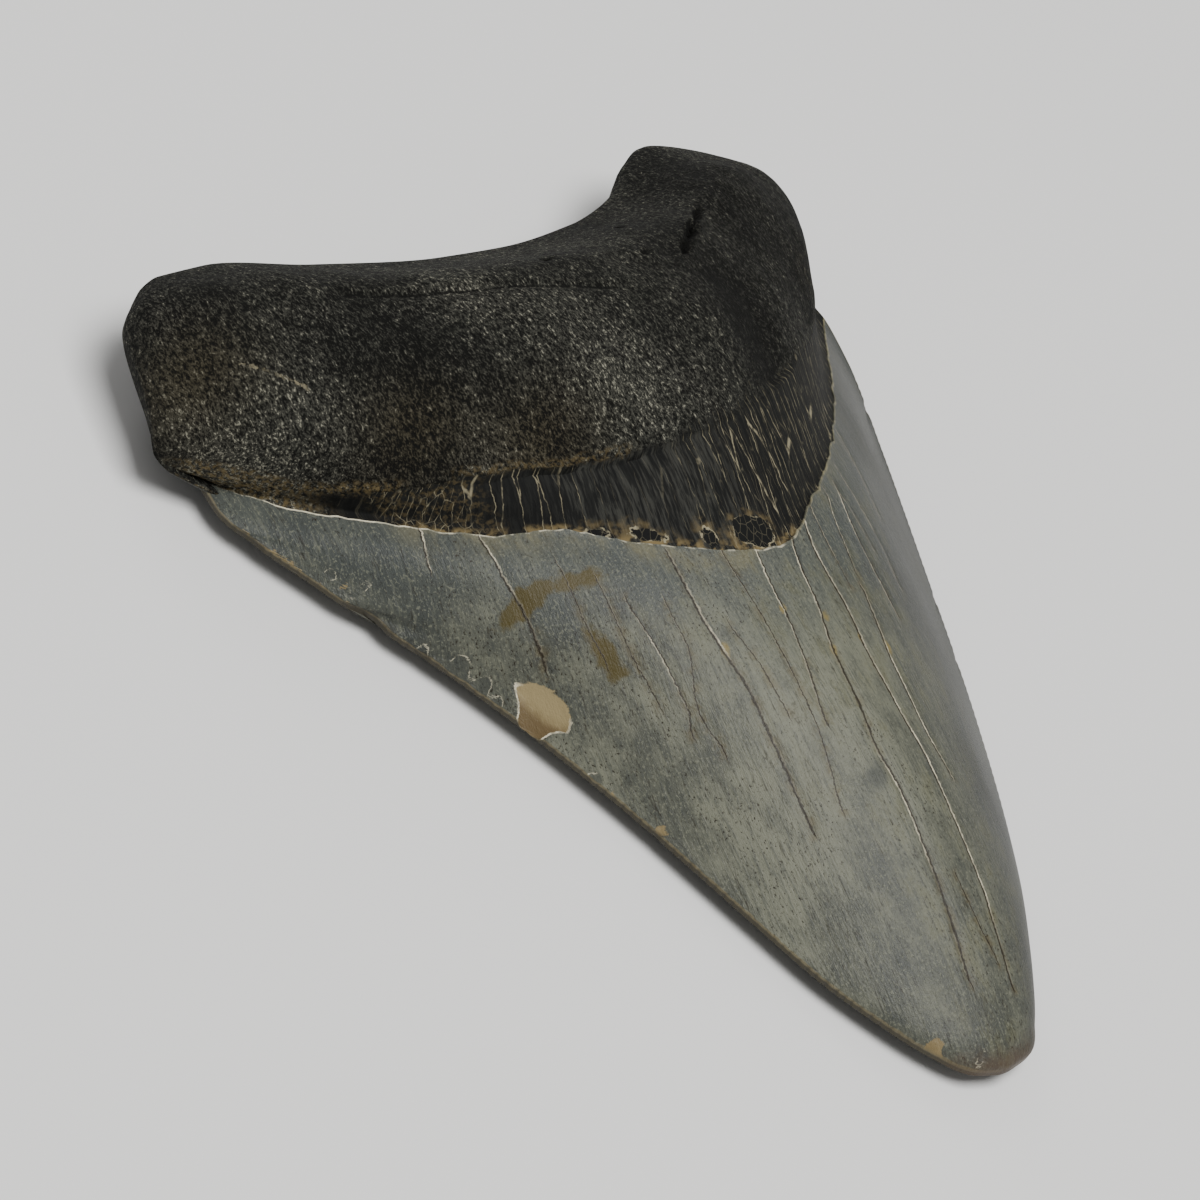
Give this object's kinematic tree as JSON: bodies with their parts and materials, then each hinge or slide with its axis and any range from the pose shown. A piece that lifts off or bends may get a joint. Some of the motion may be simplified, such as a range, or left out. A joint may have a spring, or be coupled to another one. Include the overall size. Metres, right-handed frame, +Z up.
{
  "type": "fossil megalodon tooth",
  "caption": "Fossil shark tooth with a lobed dark root, a dark chevron band and a smooth tapering grey crown, lying on its nearly flat outer face.",
  "frame": {"origin": "middle of the bounding box's bottom, on the surface that the tooth lies on", "axes": "+Y from the tip towards the root, along the tooth's length; +Z up, out of the swollen inner face; +X to the right seen from above with the root at the top"},
  "size_m": [0.0744, 0.0879, 0.0191],
  "materials": {
    "fossil_stone": "satin grey enamel on the crown, matt near-black root"
  },
  "bodies": {
    "root": {"tooth": "fossil_stone"}
  },
  "joints": []
}
